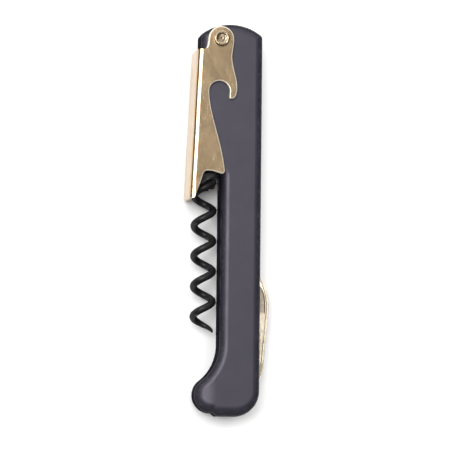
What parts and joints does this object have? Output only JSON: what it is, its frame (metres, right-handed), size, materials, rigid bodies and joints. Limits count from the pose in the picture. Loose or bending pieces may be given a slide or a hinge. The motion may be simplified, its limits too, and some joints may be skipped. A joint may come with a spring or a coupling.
{
  "type": "waiter's corkscrew",
  "caption": "Folding waiter's corkscrew with a moulded handle, plated single-step lever with crown-cap hook, coated worm and folding foil knife.",
  "frame": {"origin": "under the centre of the bounding box, on the surface that the closed corkscrew lies on with its rear side down", "axes": "+Z through the handle's thickness, out of its front side; +Y along the handle from the heel to the head; +X across the handle towards the knife"},
  "size_m": [0.0258, 0.1198, 0.0168],
  "materials": {
    "handle_plastic": "dark slate moulded plastic with a soft satin sheen",
    "frame_steel": "plain stamped steel",
    "plated_brass": "polished pale brass plate on pressed sheet",
    "worm_coating": "black non-stick coating, semi-gloss",
    "knife_gilt": "pale gilt plate on a ground steel blade"
  },
  "bodies": {
    "handle": {"handle_front_shell": "handle_plastic", "handle_rear_shell": "handle_plastic", "frame_liner_front": "frame_steel", "frame_liner_rear": "frame_steel", "head_spacer": "frame_steel", "back_spring": "frame_steel", "frame_rivet_top": "frame_steel", "frame_rivet_head": "frame_steel", "frame_rivet_middle": "frame_steel", "frame_rivet_lower": "frame_steel", "lever_pin": "plated_brass", "worm_pin": "frame_steel", "knife_pin": "frame_steel", "lever_washer_front": "frame_steel", "lever_washer_rear": "frame_steel", "knife_washer_front": "frame_steel", "knife_washer_rear": "frame_steel"},
    "lever": {"lever": "plated_brass"},
    "worm": {"worm_carrier": "worm_coating", "worm": "worm_coating"},
    "knife": {"knife_blade": "knife_gilt"}
  },
  "joints": [
    {"name": "lever_pivot", "type": "hinge", "parent": "handle", "child": "lever", "pos_m": [-0.00347, 0.05507, 0.0084], "axis": [0, 0, -1], "range_deg": [0, 160]},
    {"name": "worm_pivot", "type": "hinge", "parent": "handle", "child": "worm", "pos_m": [-0.00561, 0.01907, 0.0084], "axis": [0, 0, -1], "range_deg": [0, 90]},
    {"name": "knife_pivot", "type": "hinge", "parent": "handle", "child": "knife", "pos_m": [0.00499, -0.05113, 0.0084], "axis": [0, 0, -1], "range_deg": [0, 165]}
  ],
  "couplings": [
    {"joint": "worm_pivot", "follows": "lever_pivot", "ratio": 0.5625}
  ]
}
